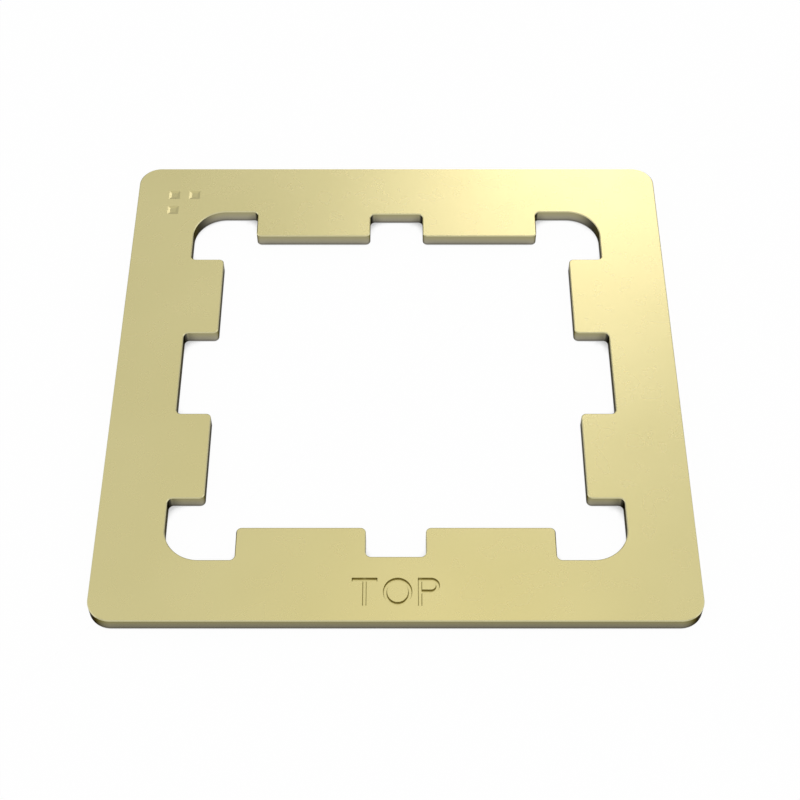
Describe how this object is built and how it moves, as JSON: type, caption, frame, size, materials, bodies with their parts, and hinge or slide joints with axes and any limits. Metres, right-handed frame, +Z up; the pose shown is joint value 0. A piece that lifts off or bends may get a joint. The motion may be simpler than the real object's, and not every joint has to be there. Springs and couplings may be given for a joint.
{
  "type": "cpu socket retention frame",
  "caption": "Flat square metal frame with a tabbed and notched window that locates round the legged heat spreader of a processor in its socket.",
  "frame": {"origin": "centre of the plate's outline, on its underside", "axes": "+Z up out of the engraved face, +Y from the front band, which carries the word, to the back band, +X to the right as the word is read"},
  "size_m": [0.05, 0.05, 0.0013],
  "materials": {
    "gold_anodised": "fine satin, gold anodised"
  },
  "bodies": {
    "root": {"retention_frame": "gold_anodised"}
  },
  "joints": []
}
